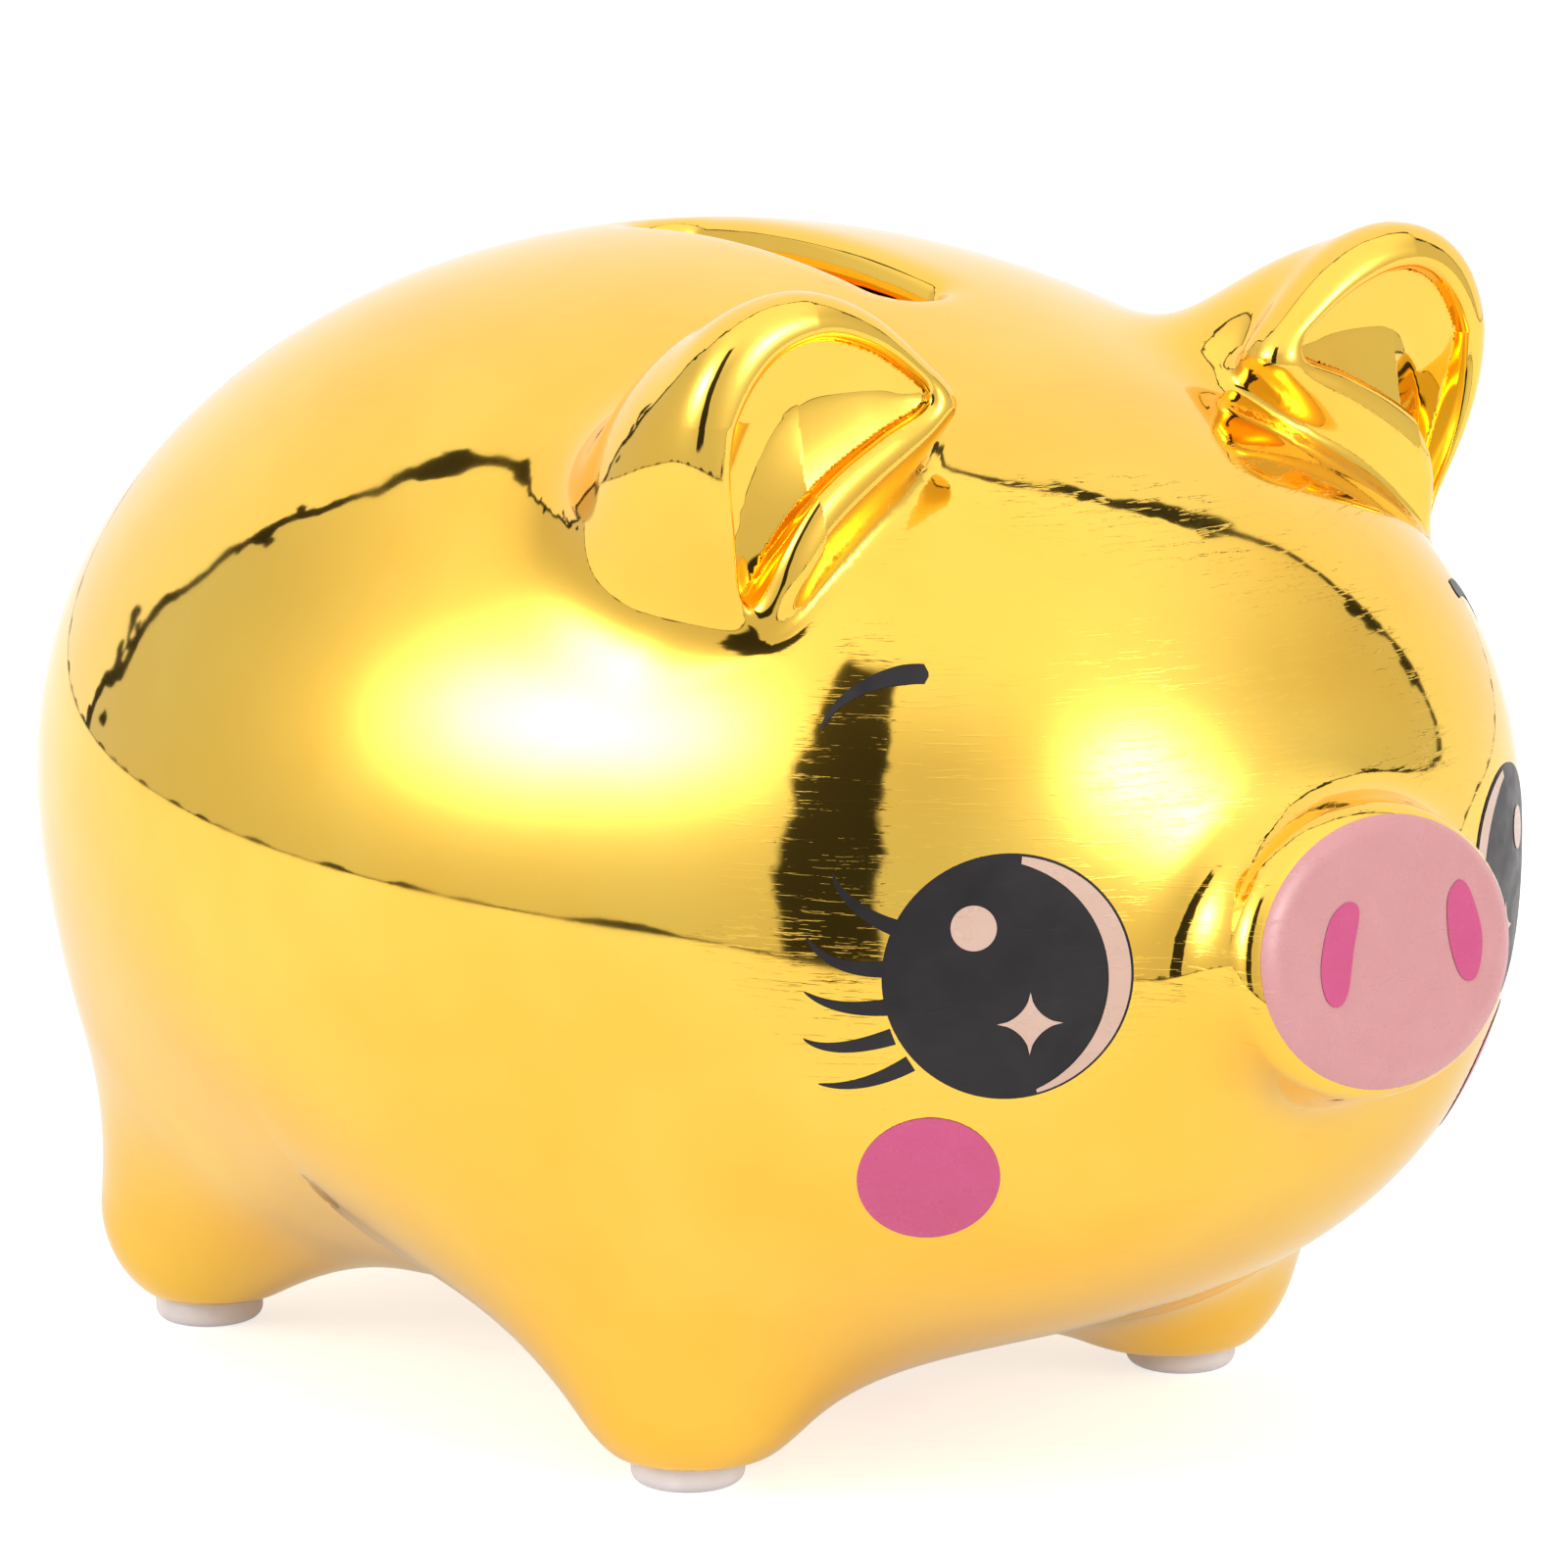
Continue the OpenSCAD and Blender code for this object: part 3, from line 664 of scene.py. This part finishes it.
EYE = print_frame(27.1, 51.0)
EYE_R, EYE_SINK = 9.9, -0.45
LASHES = [[(-13.6, 7.6), (-11.9, 5.2), (-8.6, 3.5)],
          [(-15.7, 2.6), (-13.3, 0.6), (-9.4, 0.3)],
          [(-15.8, -1.9), (-13.1, -2.9), (-9.4, -2.8)],
          [(-15.8, -5.8), (-13.1, -6.3), (-9.0, -5.2)],
          [(-14.6, -9.5), (-11.3, -9.2), (-7.6, -7.4)]]
BROW_LINE = [(-14.1, 18.5), (-12.7, 20.3), (-10.3, 21.8), (-8.0, 22.4), (-5.7, 22.6)]
CHEEK_C, CHEEK_R = (-5.8, -17.6), 5.6
INNER_C, INNER_R = (-1.85, -0.73), 9.75


def crescent():
    """Between the eye's edge and a circle that lies further back."""
    out = []
    ic, ec = np.array(INNER_C), np.array([0, EYE_SINK])
    for a in np.linspace(radians(-76), radians(84), 49):
        d = np.array([cos(a), sin(a)])
        off = ec - ic
        b = d @ off
        near = -b + np.sqrt(max(b * b - off @ off + INNER_R ** 2, 0))
        far = EYE_R - 0.22
        near = min(near, far - 0.02)
        out.append([tuple(ec + d * (near + (far - near) * t)) for t in (0, 0.33, 0.67, 1)])
    return out


def star(a):
    return (abs(cos(a) / 2.6) ** 0.62 + abs(sin(a) / 2.55) ** 0.62) ** (-1 / 0.62)


def lash_width(s):
    return 0.66 * s ** 0.75 + 0.02


def brow_width(s):
    """It grows from a point, and its thick end is round."""
    return (0.1 + 0.6 * min(1, s * 1.3)) * max(1 - max(s - 0.95, 0) ** 2 / 0.0026, 0.02) ** 0.5


for side, tag in ((1, "left"), (-1, "right")):
    eye = [film("lash", EYE, stroke(line, lash_width), BLACK, FILM_UP, side) for line in LASHES]
    eye.insert(0, film("disc", EYE, disc((0, EYE_SINK), EYE_R, 14, 96), BLACK, FILM_UP, side, True))
    glint = [film("crescent", EYE, crescent(), GLINT, GLINT_UP, side),
             film("dot", EYE, disc((-2.8, 3.64), 1.8, 4, 40), GLINT, GLINT_UP, side, True),
             film("star", EYE, disc((1.67, -4.1), star, 6, 64), GLINT, GLINT_UP, side, True)]
    brow = [film("brow", EYE, stroke(BROW_LINE, brow_width, 24), BLACK, FILM_UP, side)]
    cheek = [film("cheek", EYE, disc(CHEEK_C, CHEEK_R, 6, 64), HOT_PINK, FILM_UP, side, True)]
    for node, objs, slot in (("eye", eye, "print_black"), ("eye_glint", glint, "print_glint"),
                             ("brow", brow, "print_black"), ("cheek", cheek, "print_hot_pink")):
        piece = joined(f"printed_{node}_{tag}", objs)
        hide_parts(f"{node}_{tag}")

NOSE = (SNOUT_FACE, np.array([1.0, 0, 0]), SNOUT_UP, SNOUT_AXIS)
DISC_R = SNOUT_HALF_H - 0.9


def oval(a):
    return DISC_R / np.hypot(cos(a) / SNOUT_OVAL, sin(a))


piece = film("printed_snout_disc", NOSE, disc((0, 0), oval, 14, 96), PINK, FILM_UP, -1, True)
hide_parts("snout_disc")
# the two nostrils aren't mirror images
NOSTRILS = {
    "right": [(-3.5, 4.4), (-4.8, 4.4), (-6.4, 3.1), (-7.6, -0.1), (-7.4, -2.6), (-6.2, -3.5),
              (-5.0, -2.5), (-4.0, 0.8), (-3.1, 3.4)],
    "left": [(7.4, 4.5), (6.4, 3.2), (6.2, 0.1), (7.0, -2.8), (8.3, -3.5), (9.3, -2.4),
             (9.8, 0.2), (9.1, 3.2), (8.3, 4.5)],
}
for tag, outline in NOSTRILS.items():
    edge = rounded(outline, 44)
    middle = edge.mean(axis=0)
    grid = [[tuple(middle + (e - middle) * t) for e in edge] for t in (0.25, 0.5, 0.75, 1)]
    piece = film(f"printed_nostril_{tag}", NOSE, grid, HOT_PINK, GLINT_UP, -1, True)
    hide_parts(f"nostril_{tag}")

# ---- feet, stopper and tail ----

FEET = ("foot_pad_front_left", "foot_pad_front_right", "foot_pad_rear_left", "foot_pad_rear_right")
for node, material in [(n, FOOT) for n in FEET] + [("stopper", RUBBER)]:
    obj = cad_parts[node]
    obj.data.materials.clear()
    obj.data.materials.append(material)

TAIL_Z, TAIL_R, TAIL_CURL, TAIL_TURN, SKIN_GAP = 62.0, 2.6, 5.2, 430.0, 0.3
TAIL_STEPS, TAIL_SIDES = 144, 32


def rump():
    """How far back the body reaches at the tail's height."""
    low, high = 20.0, 90.0
    for _ in range(24):
        middle = (low + high) / 2
        if pig(np.array([[0.0, middle, TAIL_Z]]))[0] < 0:
            low = middle
        else:
            high = middle
    return low


TAIL_ROOT = rump() + SKIN_GAP


def tail_point(t):
    """The tail leaves the rump straight and closes one loop."""
    a = radians(TAIL_TURN * t)
    r = TAIL_CURL * min(1, TAIL_TURN * t / 120) * (1 - 0.25 * t)
    y = TAIL_ROOT + 3.15 * min(t, 0.12) / 0.12 + 6.5 * t
    return np.array([r * sin(a), y, TAIL_Z + r * (1 - cos(a)) * 0.9])


def tail_ring(t):
    d = tail_point(min(t + 0.01, 1)) - tail_point(max(t - 0.01, 0)) if t else np.array([0.0, 1, 0])
    u = np.cross(d, [0, 0.3, 1])
    u /= np.linalg.norm(u)
    w = np.cross(u, d)
    w /= np.linalg.norm(w)
    r = TAIL_R * (1 - 0.45 * t) * sqrt(max(1 - (max(t - 0.9, 0) / 0.1) ** 2, 0.03))
    b = np.linspace(0, 2 * pi, TAIL_SIDES, endpoint=False)
    return tail_point(t) + (np.outer(np.cos(b), u) + np.outer(np.sin(b), w)) * r


def tail_faces(root, tip):
    n = TAIL_SIDES
    last = TAIL_STEPS * n
    tube = [[i * n + j, i * n + (j + 1) % n, (i + 1) * n + (j + 1) % n, (i + 1) * n + j]
            for i in range(TAIL_STEPS) for j in range(n)]
    return (tube + [[root, (j + 1) % n, j] for j in range(n)]
            + [[tip, last + j, last + (j + 1) % n] for j in range(n)])


tip = tail_point(1) + (tail_point(1) - tail_point(0.99)) * 0.5
points = np.vstack([tail_ring(t) for t in np.linspace(0, 1, TAIL_STEPS + 1)]
                   + [tail_point(0)[None], tip[None]])
faces = tail_faces(len(points) - 2, len(points) - 1)
tail_piece = add_mesh("gold_tail", points, faces, GOLD)
volume = sum(points[f[0]] @ np.cross(points[f[i]], points[f[i + 1]])
             for f in faces for i in range(1, len(f) - 1))
if volume < 0:
    tail_piece.data.flip_normals()
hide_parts("tail")

# ---- camera, floor and light ----

CAM_AZ, CAM_EL, CAM_DIST = radians(-38.68), radians(12.14), 650.15
TARGET = np.array([3.01, 1.07, 51.04])
SENSOR, LENS = 36.0, 171.07
back = np.array([sin(CAM_AZ) * cos(CAM_EL), -cos(CAM_AZ) * cos(CAM_EL), sin(CAM_EL)])
camera_data = bpy.data.cameras.new("camera")
camera_data.sensor_width, camera_data.lens = SENSOR, LENS
camera_data.clip_start, camera_data.clip_end = 0.05, 20
camera = bpy.data.objects.new("camera", camera_data)
camera.location = (TARGET + back * CAM_DIST) * MM
camera.rotation_euler = (pi / 2 - CAM_EL, 0, CAM_AZ)
bpy.context.scene.collection.objects.link(camera)
bpy.context.scene.camera = camera


def floor_material():
    m, nodes, links, bsdf, coord = new_material("floor_white")
    p = coord.outputs["Object"]
    links.new(ramp(nodes, links, noise(nodes, links, p, 3), (0.60, 0.60, 0.60), (0.64, 0.64, 0.64)),
              bsdf.inputs["Base Color"])
    bsdf.inputs["Emission Color"].default_value = (1, 1, 1, 1)
    # it looks white to the camera and throws less light on the gold
    seen = nodes.new("ShaderNodeLightPath").outputs["Is Camera Ray"]
    links.new(remap(nodes, links, seen, 0.0, 1.0, 0.24, 0.62), bsdf.inputs["Emission Strength"])
    bsdf.inputs["Roughness"].default_value = 0.9
    return m


# The floor is a round white sheet whose near edge lies between the pig and the camera.
FLOOR_R, FLOOR_BACK, EDGE_H = 700.0, 450.0, 7.0
ahead = np.array([sin(CAM_AZ), -cos(CAM_AZ), 0.0])
aside = np.array([cos(CAM_AZ), sin(CAM_AZ), 0.0])
turn = np.linspace(0, 2 * pi, 241)[:-1]
ring = np.outer(np.cos(turn), ahead) + np.outer(np.sin(turn), aside)
floor_mid = -FLOOR_BACK * ahead
floor_points = floor_mid + ring * FLOOR_R
floor = add_mesh("floor", floor_points, [list(range(240))], floor_material(), body=None)
lip_h = EDGE_H * (0.25 + 0.75 * np.clip(np.sin(turn * 37) + np.sin(turn * 61 + 1), 0, 1))
lip_points = np.vstack([floor_points * 1.002, floor_points * 1.002 + np.outer(lip_h, [0, 0, 1])])
lip_faces = [[i, (i + 1) % 240, 240 + (i + 1) % 240, 240 + i] for i in range(240)]
lip_material, nodes, links, bsdf, coord = new_material("floor_lip")
links.new(ramp(nodes, links, noise(nodes, links, coord.outputs["Object"], 30), (0.006,), (0.02,)),
          bsdf.inputs["Base Color"])
lip = add_mesh("floor_lip", lip_points, lip_faces, lip_material, body=None)
lip.visible_camera = False

world = bpy.data.worlds.new("tent")
bpy.context.scene.world = world
world.use_nodes = True
wn, wl = world.node_tree.nodes, world.node_tree.links


def m_(op, a, b=None):
    return calc(wn, wl, op, a, b)


def dot(v, axis):
    n = wn.new("ShaderNodeVectorMath")
    n.operation = "DOT_PRODUCT"
    wl.new(v, n.inputs[0])
    n.inputs[1].default_value = axis
    return n.outputs["Value"]


def step(x, low, high):
    return remap(wn, wl, x, low, high, smooth=True)


def line(x, at, half, soft=0.01):
    """1 within half of at, else 0."""
    return m_("SUBTRACT", 1.0, step(m_("ABSOLUTE", m_("SUBTRACT", x, at)), half, half + soft))


def mix(a, b, fac):
    return m_("ADD", a, m_("MULTIPLY", m_("SUBTRACT", b, a), fac))


def direction(az, el):
    az, el = radians(az), radians(el)
    return tuple((ahead * cos(az) + aside * sin(az)) * cos(el) + np.array([0, 0, sin(el)]))


def lamp(v, az, el, size, peak):
    """A soft round light in that direction; size is its half width in degrees."""
    closeness = m_("MAXIMUM", dot(v, direction(az, el)), 0.0)
    power = 0.69 / (1 - cos(radians(size)))
    return m_("MULTIPLY", m_("POWER", closeness, power), peak)


BACK_L, WALL_L, CEILING_L, BACKDROP_L = 1.03, 0.70, 1.22, 1.3
# Two lamps outside the tent, each a core and a halo: azimuth, elevation, half width, peak
LAMPS = [(-60, 28, 10, 9.0), (-60, 28, 21, 0.9), (46, 23, 10, 7.0), (46, 23, 24, 0.8)]
GAP_AZ, GAP_HALF_AZ, GAP_EL, GAP_HALF_EL = -26, 8, 20, 33
SEAM_TOWARD, SEAM_HALF = 0.40, 0.014
coord = wn.new("ShaderNodeTexCoord")
v = coord.outputs["Generated"]


def ripple(scale, size, detail=4.0):
    n = wn.new("ShaderNodeTexNoise")
    n.inputs["Scale"].default_value = scale
    n.inputs["Detail"].default_value = detail
    wl.new(v, n.inputs["Vector"])
    return m_("MULTIPLY", m_("SUBTRACT", n.outputs["Fac"], 0.5), size)


toward = dot(v, tuple(ahead))
sideways = dot(v, tuple(aside))
height = dot(v, (0, 0, 1))
shake = ripple(5.0, 0.14)
# the tent's front half ends in a dark seam that leans back on the left
left_half = step(m_("MULTIPLY", sideways, -1.0), 0.2, 0.6)
lean = m_("MULTIPLY", left_half, m_("SUBTRACT", m_("MULTIPLY", height, 0.42), 0.28))
seam_at = m_("ADD", m_("ADD", toward, shake), m_("SUBTRACT", SEAM_TOWARD, lean))
behind = m_("SUBTRACT", 1.0, step(seam_at, -0.008, 0.008))
above = step(height, 0.45, 0.95)
level = mix(mix(WALL_L, CEILING_L, above), BACK_L, behind)
width = m_("ADD", SEAM_HALF, m_("MAXIMUM", ripple(9.0, 0.30, 2.0), 0.0))
seam = m_("SUBTRACT", 1.0, step(m_("DIVIDE", m_("ABSOLUTE", seam_at), width), 0.85, 1.0))
level = m_("MULTIPLY", level, m_("SUBTRACT", 1.0, m_("MULTIPLY", seam, 0.96)))
side = m_("ARCTAN2", sideways, toward)
el = m_("ARCSINE", height)
gap = m_("MULTIPLY", line(m_("ADD", side, shake), radians(GAP_AZ), radians(GAP_HALF_AZ), 0.03),
         line(m_("ADD", el, shake), radians(GAP_EL), radians(GAP_HALF_EL), 0.06))
for az, up, size, peak in LAMPS:
    level = m_("ADD", level, lamp(v, az, up, size, peak))
level = m_("MULTIPLY", level, m_("SUBTRACT", 1.0, m_("MULTIPLY", gap, 0.95)))
plain = wn.new("ShaderNodeLightPath")
level = mix(level, BACKDROP_L, plain.outputs["Is Camera Ray"])
wl.new(level, wn["Background"].inputs["Strength"])
wn["Background"].inputs["Color"].default_value = (1, 0.99, 0.975, 1)

bpy.context.scene.view_settings.view_transform = "Standard"
